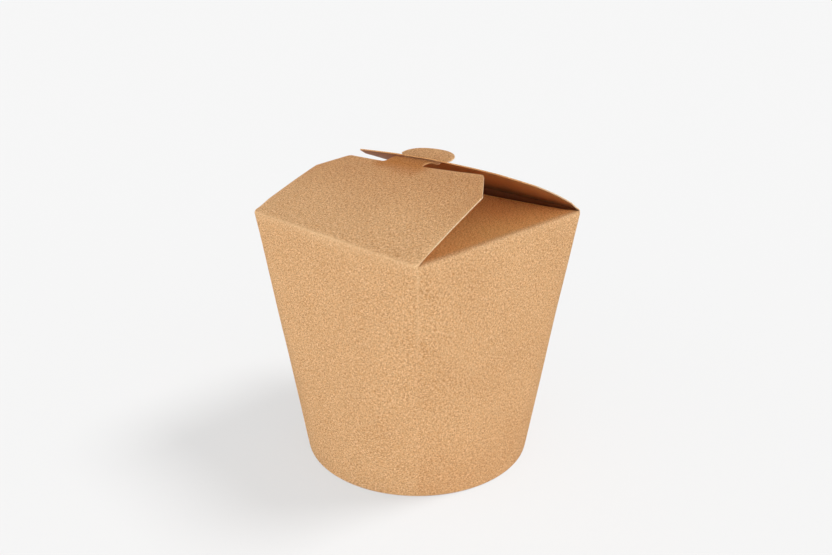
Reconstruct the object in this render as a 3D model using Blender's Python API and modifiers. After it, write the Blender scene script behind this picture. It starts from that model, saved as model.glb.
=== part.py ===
"""Noodle takeaway box: folded kraft board with a square rim and a round base.

One sheet of coated board makes the wall and its four top flaps. The side flaps lie flat in
the rim, and the front and back flaps lean together over them like a roof, locked by a tab on
the front flap that comes up through a slot near the back flap's edge. The box is shut, so
below the flaps it is solid. A separate round disc closes the base inside the wall's hem.

Metres, +Z up. The origin is at the middle of the base, on the surface the box stands on. The
rim's sides run along X and Y, and the front flap hinges on the -Y side.
"""
import math

import bmesh
import bpy
from mathutils import Matrix, Vector

# ---- driving dimensions -------------------------------------------------------------------
SIDE = 0.094             # square rim, fold line to fold line
RIM_Z = 0.101            # height of the rim's fold lines
BASE_R = 0.0473          # outside radius of the round base
CORNER_R = 0.0047        # rounding of the rim's four corners, seen from above
BOARD = 0.0005           # thickness of the board
ROOF_FOLD_R = 0.0009     # outside radius of the folds under the front and back flaps
SIDE_FOLD_R = 0.0020     # softer folds of the two side flaps

FLAP_REACH = 0.0477      # roof flap, from its fold to its free edge
SHOULDER_REACH = 0.0357  # where the flap's cut-off corners start
SHOULDER_HALF = 0.0461   # half the flap's width at its shoulders
TIP_HALF = 0.0373        # half the length of its free edge
TIP_ROUND = 0.0015       # how far the free edge's corners are rounded
BACK_BOW = 4.8           # degrees by which the back flap is steeper at its fold
FOLD_BLEND = 0.008       # length over which a flap eases out of its rounded corners

TAB_X = -0.0046          # middle of the locking tab
NECK_HALF = 0.0092       # half the width of the tab's neck
NECK_FILLET = 0.0020     # rounding where the neck leaves the flap
HEAD_HALF = 0.0129       # half the width of the tab's mushroom head
HEAD_START = 0.0124      # distance along the tab where the head widens
TAB_REACH = 0.0200       # whole length of the tab
HEAD_POWER = 2.3         # 2 gives an elliptical head, more a squarer one

SLOT_NEAR = 0.0417       # slot in the back flap, measured from that flap's fold
SLOT_FAR = 0.0439
SLOT_HALF = 0.0100

SIDE_FLAP_REACH = 0.0450  # side flap, from its fold to its free edge
SIDE_FLAP_TAPER = 0.0062  # how far each of its side edges closes in over that reach
POCKET_START = 0.0008     # width of the gap beside it at the rim's corner
POCKET_DEPTH = 0.0040     # depth of the gaps left beside the side flaps

HEM = 0.0015             # thickness of the wall's folded hem round the base
HEM_DEPTH = 0.0048       # height of the recess inside the hem
DISC_SKIRT = 0.0036      # height of the base disc's turned-down rim
GAP = 0.0003             # clearance between pieces that touch

ARC_STEPS = 9             # segments of each rim corner, and of a quarter of the base
FOLD_STEPS = 4           # segments across a fold
TAB_COLUMNS = 8
TAB_ROWS = 22

HALF = SIDE / 2
STRAIGHT_HALF = HALF - CORNER_R                      # straight part of a fold line
FOLD_HALF = STRAIGHT_HALF + CORNER_R * math.sin(math.radians(45))
RECESS_R = BASE_R - HEM


# ---- scene helpers ------------------------------------------------------------------------
def clear_scene():
    for obj in list(bpy.data.objects):
        bpy.data.objects.remove(obj, do_unlink=True)


def new_collection(name):
    collection = bpy.data.collections.new(name)
    bpy.context.scene.collection.children.link(collection)
    return collection


def new_material(name, colour, roughness):
    material = bpy.data.materials.new(name)
    material.use_nodes = True
    shader = material.node_tree.nodes["Principled BSDF"]
    shader.inputs["Base Color"].default_value = (*colour, 1.0)
    shader.inputs["Roughness"].default_value = roughness
    shader.inputs["Metallic"].default_value = 0.0
    return material


def mesh_object(name, mesh, collection, material=None):
    obj = bpy.data.objects.new(name, mesh)
    collection.objects.link(obj)
    if material:
        mesh.materials.append(material)
    return obj


def hide_as_guide(obj):
    obj.hide_render = True
    obj.display_type = "WIRE"
    return obj


def box_cutter(name, collection, size, matrix):
    """A cuboid of the given size (x, y, z), placed by a matrix."""
    bpy.ops.mesh.primitive_cube_add(size=1)
    obj = bpy.context.object
    obj.name = name
    obj.data.transform(Matrix.Diagonal((*size, 1.0)))
    obj.matrix_world = matrix
    for owner in list(obj.users_collection):
        owner.objects.unlink(obj)
    collection.objects.link(obj)
    return hide_as_guide(obj)


def boolean(obj, other, operation):
    modifier = obj.modifiers.new(f"{operation.lower()} {other.name}", "BOOLEAN")
    modifier.operation = operation
    modifier.object = other
    modifier.solver = "EXACT"


# ---- body: loft from the round base to the square rim -------------------------------------
def rim_direction(step):
    """Outward direction of outline step number `step`, with ARC_STEPS steps to a quarter."""
    angle = math.radians(90) * step / ARC_STEPS
    return Vector((math.sin(angle), -math.cos(angle), 0))


def outline_pairs():
    """(outward direction, corner centre) for every point of the rounded square, anticlockwise
    from the start of the corner at +X, -Y. Each corner arc turns through a quarter circle."""
    pairs = []
    for corner, (sx, sy) in enumerate(((1, -1), (1, 1), (-1, 1), (-1, -1))):
        centre = Vector((sx * STRAIGHT_HALF, sy * STRAIGHT_HALF, 0))
        for step in range(ARC_STEPS + 1):
            pairs.append((rim_direction(corner * ARC_STEPS + step), centre))
    return pairs


def fold_radius(direction):
    """The fold radius goes from the roof flaps' on the Y sides to the side flaps' on the X."""
    return ROOF_FOLD_R + (SIDE_FOLD_R - ROOF_FOLD_R) * direction.x ** 2


def body_mesh():
    """Every wall ruling joins a rim point to the base point that faces the same way, so the
    sides are flat triangles that point down, and the corners are parts of slanted cones."""
    mesh = bmesh.new()
    pairs = outline_pairs()
    base = [mesh.verts.new(d * BASE_R) for d, _ in pairs]
    rings = [base]
    for row in range(FOLD_STEPS + 1):
        turn = math.radians(90) * row / FOLD_STEPS
        ring = []
        for direction, centre in pairs:
            radius = fold_radius(direction)
            out = CORNER_R - radius * (1 - math.cos(turn))
            height = RIM_Z - radius * (1 - math.sin(turn))
            ring.append(mesh.verts.new(centre + direction * out + Vector((0, 0, height))))
        rings.append(ring)
    count = len(pairs)
    for lower, upper in zip(rings, rings[1:]):
        for i in range(count):
            j = (i + 1) % count
            mesh.faces.new((lower[i], lower[j], upper[j], upper[i]))
    mesh.faces.new(rings[-1])
    mesh.faces.new(list(reversed(base)))
    # neighbouring arcs meet the base at one point, which ends the flat triangle above it
    bmesh.ops.remove_doubles(mesh, verts=mesh.verts, dist=1e-6)
    data = bpy.data.meshes.new("carton")
    mesh.to_mesh(data)
    mesh.free()
    return data


def pocket_cutters(collection):
    """The gaps beside and between the side flaps: thin wedges along the roof flaps' folds, and
    a slit where the two side flaps nearly meet."""
    inner = HALF - 2 * BOARD
    wedge_half = STRAIGHT_HALF - 2 * BOARD
    start = inner - POCKET_START
    end = inner - SIDE_FLAP_TAPER
    flap_end = HALF - SIDE_FLAP_REACH
    cutters = []
    for name, side in (("front", -1), ("back", 1)):
        half = [(wedge_half, inner), (wedge_half, start), (flap_end, end)]
        outline = [(x, side * y) for x, y in half]
        outline += [(-x, side * y) for x, y in reversed(half)]
        cutters.append(prism(f"pocket_{name}", collection, outline))
    reach = (end + inner) / 2
    slit = [(-flap_end, -reach), (flap_end, -reach), (flap_end, reach), (-flap_end, reach)]
    cutters.append(prism("pocket_middle", collection, slit))
    return cutters


def prism(name, collection, outline):
    """A cutter with a flat outline that reaches from the pockets' floor to above the rim."""
    mesh = bmesh.new()
    floor_z = RIM_Z - POCKET_DEPTH
    face = mesh.faces.new([mesh.verts.new((x, y, floor_z)) for x, y in outline])
    bmesh.ops.recalc_face_normals(mesh, faces=mesh.faces)
    raised = bmesh.ops.extrude_face_region(mesh, geom=[face])["geom"]
    top = [v for v in raised if isinstance(v, bmesh.types.BMVert)]
    bmesh.ops.translate(mesh, verts=top, vec=(0, 0, 2 * POCKET_DEPTH))
    bmesh.ops.recalc_face_normals(mesh, faces=mesh.faces)
    data = bpy.data.meshes.new(name)
    mesh.to_mesh(data)
    mesh.free()
    return hide_as_guide(mesh_object(name, data, collection))


# ---- roof flaps ---------------------------------------------------------------------------
def front_slope(x, reach):
    """Slope of the front flap, in radians. Its right side stands a little higher."""
    across = x / SIDE
    return math.radians(22.9 + 7.5 * across + 3.6 * across ** 2)


def back_slope(x, reach):
    """Slope from the back flap's fold to a point on it. The flap bows, so the slope falls
    towards its free edge, and the tab pushes its middle up. x is seen from the back."""
    across = -x / SIDE
    bow = BACK_BOW * (1 - reach / FLAP_REACH)
    return math.radians(24.6 - 9.2 * (across - 0.1) ** 2 + bow)


def flap_half_width(reach):
    grown = min(reach / SHOULDER_REACH, 1.0)
    return FOLD_HALF + (SHOULDER_HALF - FOLD_HALF) * grown


def flap_end(u):
    """How far the flap reaches at the part u of its half width, -1 to 1."""
    tip = TIP_HALF / SHOULDER_HALF
    past = (abs(u) - tip) * SHOULDER_HALF
    if past <= -TIP_ROUND:
        return FLAP_REACH
    cut = (FLAP_REACH - SHOULDER_REACH) / (SHOULDER_HALF - TIP_HALF)
    if past >= TIP_ROUND:
        return FLAP_REACH - cut * past
    return FLAP_REACH - cut * (past + TIP_ROUND) ** 2 / (4 * TIP_ROUND)


def fold_start(u):
    """Where column u leaves the rim's outline: that point and its outward direction."""
    x = u * FOLD_HALF
    turn = math.asin(max(abs(x) - STRAIGHT_HALF, 0) / CORNER_R)
    direction = Vector((math.copysign(math.sin(turn), x), -math.cos(turn), 0))
    y = -STRAIGHT_HALF - CORNER_R * math.cos(turn)
    return Vector((x, y, RIM_Z)), direction


def plane_point(u, reach, slope):
    """A point on the flat of the flap, at a distance from its fold line."""
    x = u * flap_half_width(reach)
    angle = slope(x, reach)
    return Vector((x, -HALF + reach * math.cos(angle), RIM_Z + reach * math.sin(angle)))


def flap_column(u, slope):
    """Points of one column of the flap: up out of the wall, over the fold, then out along the
    flat. Near a corner, a smooth curve joins the slanting fold to the flat."""
    start, outward = fold_start(u)
    angle = slope(start.x, 0)
    bead = 0.4 * BOARD                    # the fold's crease stands this far inside the wall
    over = 1.1 * BOARD
    profile = ((bead, -2.6 * BOARD), (bead, -0.9 * BOARD), (0.6 * BOARD, -0.2 * BOARD),
               (over, over * math.tan(angle)))
    points = [start - outward * inward + Vector((0, 0, height)) for inward, height in profile]
    leave = points[-1]
    leave_way = -outward * math.cos(angle) + Vector((0, 0, math.sin(angle)))
    join_reach = (start.y + HALF) / math.cos(angle) + FOLD_BLEND
    join = plane_point(u, join_reach, slope)
    join_way = (plane_point(u, join_reach + BOARD, slope) - join).normalized()
    length = (join - leave).length
    for part in (0.2, 0.4, 0.6, 0.8, 1.0):
        points.append(hermite(leave, leave_way * length, join, join_way * length, part))
    for part in (0.25, 0.5, 0.75, 1.0):
        reach = join_reach + (flap_end(u) - join_reach) * part
        points.append(plane_point(u, reach, slope))
    return points


def hermite(p0, m0, p1, m1, t):
    return ((2 * t ** 3 - 3 * t ** 2 + 1) * p0 + (t ** 3 - 2 * t ** 2 + t) * m0
            + (3 * t ** 2 - 2 * t ** 3) * p1 + (t ** 3 - t ** 2) * m1)


def spread(first, last, steps):
    return [first + (last - first) * i / steps for i in range(steps + 1)]


def flap_columns():
    """Column places across a flap, -1 to 1, with some at the tab, the free edge's corners and
    the rim's rounded corners."""
    tab_left = (TAB_X - NECK_HALF - NECK_FILLET) / SHOULDER_HALF
    tab_right = (TAB_X + NECK_HALF + NECK_FILLET) / SHOULDER_HALF
    tip = TIP_HALF / SHOULDER_HALF
    rounding = TIP_ROUND / SHOULDER_HALF
    corner = STRAIGHT_HALF / FOLD_HALF
    outer = [corner + (1 - corner) * part for part in (0.0, 0.35, 0.7, 1.0)]
    left = [-u for u in reversed(outer)] + spread(-tip - rounding, -tip + rounding, 2)
    middle = spread(-tip + rounding, tab_left, 4)[1:-1]
    middle += spread(tab_left, tab_right, TAB_COLUMNS)
    middle += spread(tab_right, tip - rounding, 5)[1:-1]
    right = spread(tip - rounding, tip + rounding, 2) + outer
    return left + middle + right, len(left) + 3


def tab_turns():
    """Slope of the tab at each of its rows, in radians. It leaves along the flap, dips under
    the back flap's edge and turns up through the slot."""
    start = math.degrees(front_slope(TAB_X, FLAP_REACH))
    keys = ((0.0, start), (0.0058, -20.0), (0.0088, -20.0), (0.0112, 27.0), (TAB_REACH, 27.0))
    return keys


def slope_along_tab(distance):
    keys = tab_turns()
    for (d0, a0), (d1, a1) in zip(keys, keys[1:]):
        if distance <= d1:
            return math.radians(a0 + (a1 - a0) * (distance - d0) / (d1 - d0))
    return math.radians(keys[-1][1])


def tab_half_width(distance):
    """Half the tab's width: a fillet, the straight neck, then the mushroom head."""
    if distance < NECK_FILLET:
        left = 1 - distance / NECK_FILLET
        return NECK_HALF + NECK_FILLET * (1 - math.sqrt(1 - left ** 2))
    if distance < HEAD_START:
        return NECK_HALF
    widest = HEAD_START + (TAB_REACH - HEAD_START) * 0.22
    if distance < widest:
        part = (distance - HEAD_START) / (widest - HEAD_START)
        return NECK_HALF + (HEAD_HALF - NECK_HALF) * (1 - (1 - part) ** 2) ** 0.5
    part = min((distance - widest) / (TAB_REACH - widest), 1.0)
    return HEAD_HALF * (1 - part ** HEAD_POWER) ** (1 / HEAD_POWER)


def tab_rows():
    """Distances of the tab's rows, close together where its outline turns quickly."""
    rows = spread(0, NECK_FILLET, 3)[1:]
    rows += spread(NECK_FILLET, HEAD_START, 10)[1:]
    widest = HEAD_START + (TAB_REACH - HEAD_START) * 0.22
    rows += [HEAD_START + (widest - HEAD_START) * p for p in (0.15, 0.5, 1.0)]
    rows += [widest + (TAB_REACH - widest) * math.sin(math.radians(a)) for a in (20, 40, 58, 72, 82)]
    return rows


def tab_points():
    """Rows of points of the tab, from the flap's free edge to the top of its head."""
    middle = plane_point(TAB_X / SHOULDER_HALF, FLAP_REACH, front_slope)
    rows = []
    place = Vector((0, middle.y, middle.z))
    done = 0.0
    step = BOARD / 5
    for distance in tab_rows():
        while done < distance:
            length = min(step, distance - done)
            angle = slope_along_tab(done + length / 2)
            place = place + Vector((0, math.cos(angle), math.sin(angle))) * length
            done += length
        fade = max(1 - distance / SLOT_HALF, 0) ** 2
        row = []
        for column in range(TAB_COLUMNS + 1):
            across = 2 * column / TAB_COLUMNS - 1
            x = TAB_X + across * tab_half_width(distance)
            edge = plane_point(x / SHOULDER_HALF, FLAP_REACH, front_slope)
            back = -plane_point(-x / SHOULDER_HALF, SLOT_NEAR, back_slope).z
            back += plane_point(-TAB_X / SHOULDER_HALF, SLOT_NEAR, back_slope).z
            twist = (edge - middle) * fade
            row.append(Vector((x, place.y + twist.y, place.z + twist.z - back * (1 - fade))))
        rows.append(row)
    return rows


def flap_mesh(name, slope, with_tab):
    """The outer skin of a roof flap, as a grid of columns, facing up."""
    mesh = bmesh.new()
    columns, tab_first = flap_columns()
    grid = [[mesh.verts.new(p) for p in flap_column(u, slope)] for u in columns]
    for left, right in zip(grid, grid[1:]):
        for k in range(len(left) - 1):
            mesh.faces.new((left[k], right[k], right[k + 1], left[k + 1]))
    if with_tab:
        below = [grid[tab_first + i][-1] for i in range(TAB_COLUMNS + 1)]
        for points in tab_points():
            above = [mesh.verts.new(p) for p in points]
            for i in range(TAB_COLUMNS):
                mesh.faces.new((below[i], below[i + 1], above[i + 1], above[i]))
            below = above
    data = bpy.data.meshes.new(name)
    mesh.to_mesh(data)
    mesh.free()
    return data


def roof_flap(name, collection, slope, turn, with_tab):
    flap = mesh_object(name, flap_mesh(name, slope, with_tab), collection)
    flap.rotation_euler = (0, 0, turn)
    board = flap.modifiers.new("board thickness", "SOLIDIFY")
    board.thickness = BOARD
    board.offset = -1
    board.use_even_offset = True
    return hide_as_guide(flap)


def slot_cutter(collection):
    """Cuts the slot for the tab, square to the back flap's skin."""
    near = plane_point(-TAB_X / SHOULDER_HALF, SLOT_NEAR, back_slope)
    far = plane_point(-TAB_X / SHOULDER_HALF, SLOT_FAR, back_slope)
    middle = (near + far) / 2
    angle = math.atan2(far.z - near.z, far.y - near.y)
    place = Matrix.Translation((TAB_X, -middle.y, middle.z))
    tilt = Matrix.Rotation(-angle, 4, "X")
    size = (2 * SLOT_HALF, SLOT_FAR - SLOT_NEAR, 8 * BOARD)
    return box_cutter("slot", collection, size, place @ tilt)


# ---- base ---------------------------------------------------------------------------------
def recess_cutter(collection):
    bpy.ops.mesh.primitive_cylinder_add(vertices=8 * ARC_STEPS, radius=RECESS_R,
                                        depth=2 * HEM_DEPTH, location=(0, 0, 0))
    cutter = bpy.context.object
    cutter.name = "base_recess"
    for owner in list(cutter.users_collection):
        owner.objects.unlink(cutter)
    collection.objects.link(cutter)
    return hide_as_guide(cutter)


def base_disc(collection, material):
    """A disc with its rim turned down, as a profile from the axis out and down its edge."""
    top = HEM_DEPTH - GAP
    outside = RECESS_R - GAP
    bend = 2 * BOARD
    low = top - DISC_SKIRT
    profile = [(0, top), (outside - bend, top), (outside - bend * 0.3, top - bend * 0.3),
               (outside, top - bend), (outside, low), (outside - BOARD, low),
               (outside - BOARD, top - bend), (outside - bend, top - BOARD), (0, top - BOARD)]
    mesh = bmesh.new()
    verts = [mesh.verts.new((r, 0, z)) for r, z in profile]
    for a, b in zip(verts, verts[1:]):
        mesh.edges.new((a, b))
    data = bpy.data.meshes.new("base_disc")
    mesh.to_mesh(data)
    mesh.free()
    disc = mesh_object("base_disc", data, collection, material)
    screw = disc.modifiers.new("turn", "SCREW")
    screw.steps = screw.render_steps = 8 * ARC_STEPS
    screw.use_merge_vertices = True
    screw.merge_threshold = 0.00001
    screw.use_smooth_shade = True
    return disc


def carton(collection, guides, material):
    body = mesh_object("carton", body_mesh(), collection, material)
    boolean(body, recess_cutter(guides), "DIFFERENCE")
    for cutter in pocket_cutters(guides):
        boolean(body, cutter, "DIFFERENCE")
    front = roof_flap("front_flap", guides, front_slope, 0, with_tab=True)
    back = roof_flap("back_flap", guides, back_slope, math.pi, with_tab=False)
    boolean(back, slot_cutter(guides), "DIFFERENCE")
    boolean(body, front, "UNION")
    boolean(body, back, "UNION")
    body.data.shade_smooth()
    body.data.set_sharp_from_angle(angle=math.radians(30))
    return body


def main():
    clear_scene()
    parts = new_collection("noodle_takeaway_box")
    guides = new_collection("guides")
    kraft = new_material("kraft_board", (0.62, 0.40, 0.21), 0.75)
    base_board = new_material("base_board", (0.60, 0.39, 0.21), 0.75)
    carton(parts, guides, kraft)
    base_disc(parts, base_board)


main()
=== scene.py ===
# %% [markdown]
# # A noodle takeaway box in folded kraft board
# The real box is two pieces of board. One big sheet is wrapped into a wall, with four flaps at
# its top, and a small round disc closes the bottom. The sheet starts as a round tube at the base
# and ends as a square at the rim. The flaps lean together like a roof, and a mushroom-shaped tab
# on the front one goes up through a slot in the back one.
#
# Both pieces are rebuilt as thin sheets with a real thickness, so every cut edge, fold and gap
# is there. Then come the surfaces that kraft board shows: fibrous outside, coated inside, pale cut.

# %% Load the frame
import math

import bmesh
import bpy
from mathutils import Matrix, Vector, noise


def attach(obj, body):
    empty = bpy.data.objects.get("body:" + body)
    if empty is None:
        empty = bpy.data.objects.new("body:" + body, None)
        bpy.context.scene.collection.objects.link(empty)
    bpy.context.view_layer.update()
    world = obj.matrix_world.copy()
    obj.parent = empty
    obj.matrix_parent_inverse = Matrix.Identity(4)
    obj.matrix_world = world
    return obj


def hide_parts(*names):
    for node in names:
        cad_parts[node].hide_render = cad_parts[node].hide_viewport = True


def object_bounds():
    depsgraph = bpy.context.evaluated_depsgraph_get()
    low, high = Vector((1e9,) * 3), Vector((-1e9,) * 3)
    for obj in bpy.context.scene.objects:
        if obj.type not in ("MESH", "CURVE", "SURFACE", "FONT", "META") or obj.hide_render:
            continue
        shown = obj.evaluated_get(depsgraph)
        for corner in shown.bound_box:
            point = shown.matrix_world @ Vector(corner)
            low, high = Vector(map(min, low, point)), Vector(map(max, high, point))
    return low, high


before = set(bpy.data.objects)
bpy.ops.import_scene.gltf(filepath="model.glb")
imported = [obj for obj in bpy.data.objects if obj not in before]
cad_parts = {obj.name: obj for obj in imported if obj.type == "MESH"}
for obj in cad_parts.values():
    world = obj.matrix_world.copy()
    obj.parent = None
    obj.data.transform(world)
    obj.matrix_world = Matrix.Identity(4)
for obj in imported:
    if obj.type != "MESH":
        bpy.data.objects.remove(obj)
frame_low, frame_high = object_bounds()
print("frame box:", [round(v * 1000, 1) for v in (*frame_low, *frame_high)], "mm")

# %% [markdown]
# ## Sizes from the frame
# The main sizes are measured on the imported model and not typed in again. A ray dropped between
# the roof flaps lands on a side flap, at the height of the rim. A ray sent in from the side finds
# the wall just below the rim.

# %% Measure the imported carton
packed_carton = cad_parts["carton"]
bpy.context.view_layer.update()


def probe(origin, direction):
    """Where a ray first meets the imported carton."""
    hit, point, _, _ = packed_carton.ray_cast(Vector(origin), Vector(direction))
    if not hit:
        raise RuntimeError("the ray missed the carton")
    return point


BASE_R = (frame_high.x - frame_low.x) / 2
RIM_Z = probe((0.7 * BASE_R, 0, 2 * frame_high.z), (0, 0, -1)).z
HALF = round(probe((2 * BASE_R, 0, 0.96 * RIM_Z), (-1, 0, 0)).x, 4)
print(f"base radius {BASE_R * 1000:.1f}, rim height {RIM_Z * 1000:.1f}, half rim {HALF * 1000:.1f} mm")

# %% [markdown]
# ## Sizes of the folded sheet
# How thick the board is, how far each flap reaches, and where its corners are cut. Naming these
# once keeps the wall, the flaps and the materials in step.

# %% The sheet's sizes, in metres
BOARD = 0.00045          # thickness of the board
CORNER_R = 0.0047        # rounding of the rim's corners, seen from above
CREASE_REACH = 0.0006    # how far a roof flap's fold rounds over, each way from its crease
SOFT_REACH = 0.0021      # the same for the softer folds of the side flaps
FLAT_TURN = math.radians(5)   # part of the round base that lies under the flat of each side

FLAP_REACH = 0.0477      # roof flap, from its fold to its free edge
SHOULDER_REACH = 0.0357  # where the flap's cut-off corners start
SHOULDER_HALF = 0.0461   # half the flap's width at its shoulders
TIP_HALF = 0.0373        # half the length of its free edge
TIP_ROUND = 0.0012       # rounding of the free edge's corners
FOLD_BLEND = 0.009       # length over which a flap eases out of the rim's rounded corners
BACK_BOW = 4.8           # degrees by which the back flap is steeper at its fold
CROWN = 0.0006           # rise of the front flap's middle, where its tab holds the edge down

SIDE_REACH = 0.0466      # side flap, from its fold to its free edge
SIDE_TAPER = 0.0062      # how far each of its side edges closes in over that reach
SIDE_SAG = 0.0009        # how far the side flaps' free ends dip below the rim
TUCK = 0.0006            # how far their corners sit under the roof flaps

STRAIGHT_HALF = HALF - CORNER_R
FOLD_HALF = STRAIGHT_HALF + CORNER_R * math.sin(math.radians(45))
RIGHT_ANGLE = math.radians(90)

# %% [markdown]
# ## The wall between a round base and a square rim
# Board bends one way at a time, so the wall has to be made of straight lines from the base to the
# rim. Each line joins two points that face the same way. That leaves a flat triangle on every
# side, wide at the rim and nearly a point at the base, and a slanted cone at every corner. A loft
# that joined evenly spaced points would bulge where the real board can't.
#
# All four sides are alike, so one side is worked out facing -Y and then turned. A column is named
# by `u`, from -1 to 1 between the middles of two corners.

# %% Lines of the wall
def corner_turn(u):
    """How far round its corner column u is, in radians: 0 on the flat, 45 degrees at the end."""
    past = max(abs(u) * FOLD_HALF - STRAIGHT_HALF, 0)
    return math.asin(min(past / CORNER_R, math.sin(RIGHT_ANGLE / 2)))


def rim_point(u):
    """The point of the rim at column u, and the way it faces."""
    turn = corner_turn(u)
    out = Vector((math.copysign(math.sin(turn), u), -math.cos(turn), 0))
    y = -STRAIGHT_HALF - CORNER_R * math.cos(turn)
    return Vector((u * FOLD_HALF, y, RIM_Z)), out


def base_point(u):
    """The point where column u meets the floor, and the way it faces."""
    turn = corner_turn(u)
    if turn == 0:
        angle = FLAT_TURN * u * FOLD_HALF / STRAIGHT_HALF
    else:
        share = turn / (RIGHT_ANGLE / 2)
        angle = math.copysign(FLAT_TURN + (RIGHT_ANGLE / 2 - FLAT_TURN) * share, u)
    out = Vector((math.sin(angle), -math.cos(angle), 0))
    return out * BASE_R, out


print("corner ruling leans in by", round((rim_point(1)[0].xy.length - BASE_R) * 1000, 1), "mm")

# %% [markdown]
# ## Slopes of the roof flaps
# A shut box is never quite even. The front flap stands higher on its right, and the tab pushes up
# the middle of the back flap, which also bows. A slope that depends on the place gives these warps.

# %% Roof slopes
def front_slope(x, reach):
    """Slope, in radians, from the front fold to a point of that flap."""
    across = x / (2 * HALF)
    return math.radians(22.9 + 7.5 * across + 3.6 * across ** 2)


def back_slope(x, reach):
    """The same for the back flap, with x as seen from behind."""
    across = -x / (2 * HALF)
    bow = BACK_BOW * (1 - reach / FLAP_REACH)
    return math.radians(25.45 + across - 9.2 * (across - 0.1) ** 2 + bow)


def roof_point(u, reach, slope):
    """A point of a roof flap, at a distance from its fold."""
    grown = min(reach / SHOULDER_REACH, 1)
    x = u * (FOLD_HALF + (SHOULDER_HALF - FOLD_HALF) * grown)
    angle = slope(x, reach)
    crown = CROWN * math.sin(math.pi * (reach / FLAP_REACH) ** 1.6) if slope is front_slope else 0
    return Vector((x, -HALF + reach * math.cos(angle), RIM_Z + reach * math.sin(angle) + crown))


def roof_end(u):
    """How far column u reaches: to the free edge, or to the cut-off corner beside it."""
    past = abs(u) * SHOULDER_HALF - TIP_HALF
    cut = (FLAP_REACH - SHOULDER_REACH) / (SHOULDER_HALF - TIP_HALF)
    if past <= -TIP_ROUND:
        return FLAP_REACH
    if past >= TIP_ROUND:
        return FLAP_REACH - cut * past
    return FLAP_REACH - cut * (past + TIP_ROUND) ** 2 / (4 * TIP_ROUND)


def side_point(u, reach):
    """A point of a side flap, which lies nearly flat and narrows towards its free end."""
    part = reach / SIDE_REACH
    half = FOLD_HALF - SIDE_TAPER * part ** 0.75
    tuck = TUCK * smooth((abs(u) * FOLD_HALF - STRAIGHT_HALF) / (FOLD_HALF - STRAIGHT_HALF))
    sag = SIDE_SAG * part ** 0.6 + tuck * (1 - part)
    return Vector((u * half, -HALF + reach, RIM_Z - sag))


# %% [markdown]
# ## One column of the sheet
# A column is a single line of points up the sheet: out of the hem under the base, up the wall,
# over the fold, and along the flap. The fold is a short curve whose handles lie on the wall and
# on the flap, so both run into it smoothly. Near a corner the fold slants, and a second curve
# eases the flap back onto its plane. That gives the corners their soft pillow look.

# %% Column helpers
HEM = 0.0015             # thickness of the wall's hem round the base
HEM_RISE = 0.0044        # how far the hem's inner layer comes back up
HEM_STEPS = 6
WALL_STEPS = 26
FOLD_STEPS = 6
BLEND_STEPS = 7
HEM_ROWS = 3 + HEM_STEPS
WALL_ROWS = HEM_ROWS + WALL_STEPS + 1    # points of a column below its fold


def curve2(a, b, c, t):
    """A point of a quadratic curve that starts towards b and ends coming from it."""
    return a * (1 - t) ** 2 + b * (2 * t * (1 - t)) + c * t ** 2


def curve3(a, a_way, d, d_way, t):
    """A point of a cubic curve with a direction at each end."""
    return (a * (2 * t ** 3 - 3 * t ** 2 + 1) + a_way * (t ** 3 - 2 * t ** 2 + t)
            + d * (3 * t ** 2 - 2 * t ** 3) + d_way * (t ** 3 - t ** 2))


def steps(first, last, count):
    return [first + (last - first) * i / count for i in range(count + 1)]


def smooth(x):
    x = min(max(x, 0), 1)
    return x * x * (3 - 2 * x)


def fold_reach(out, along_x):
    """Half the length of the fold's curve. It changes smoothly from a roof flap to a side flap
    round each corner. along_x is how much this side's flap belongs to the side flaps."""
    share = out.y ** 2 if along_x else out.x ** 2
    return CREASE_REACH + (SOFT_REACH - CREASE_REACH) * share


def hem_points(u):
    """From the top of the hem's inner layer, down and round to the foot of the wall."""
    foot, out = base_point(u)
    middle = foot - out * (HEM / 2) + Vector((0, 0, HEM / 2))
    inner = foot - out * HEM
    points = [inner + Vector((0, 0, z)) for z in steps(HEM_RISE, HEM / 2, 3)]
    for turn in steps(RIGHT_ANGLE * 2, 0, HEM_STEPS)[1:]:
        points.append(middle + out * (math.cos(turn) * HEM / 2)
                      - Vector((0, 0, math.sin(turn) * HEM / 2)))
    return points


def wall_points(u, side_flap):
    """Up the wall, from just above the hem to where the fold begins."""
    foot, base_out = base_point(u)
    rim, out = rim_point(u)
    up = rim - foot
    start = HEM / 2 / up.length
    end = 1 - fold_reach(out, side_flap) / up.length
    points = []
    for part in steps(start, end, WALL_STEPS)[1:]:
        place = foot + up * part
        face = base_out.lerp(out, part).normalized()
        depth = math.sin(math.pi * part) ** 0.5 * (1 - smooth((part - 0.9) / 0.1))
        place += face * (depth * wall_wave(place))
        points.append(place)
    return points


def wall_wave(place):
    """Slow unevenness of the board, a few tenths of a millimetre at most, always inwards."""
    wave = noise.noise(place * 24) + 0.5 * noise.noise(place * 61)
    return -0.00016 * (1 + wave)


def fold_points(u, side_flap, leave_way):
    """Over the fold, ending on the flap. leave_way is the flap's direction at its fold."""
    rim, out = rim_point(u)
    foot, _ = base_point(u)
    reach = fold_reach(out, side_flap)
    low = rim + (foot - rim).normalized() * reach
    if side_flap:
        rim.z -= TUCK * 2 * out.x ** 2
    high = rim + leave_way * reach
    return [curve2(low, rim, high, t) for t in steps(0, 1, FOLD_STEPS)[1:]]


print("a column has", HEM_STEPS + WALL_STEPS + FOLD_STEPS + BLEND_STEPS, "points before its flap")

# %% [markdown]
# ## The flap part of a column
# The rows of points of a roof flap have to follow the slot, so they are counted back from the
# free edge. The slot is a slit that the tab has pushed open: two rows of points part there, and
# the faces between them are left out. That gives its edges the finish of the outline's cut edge.

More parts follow.
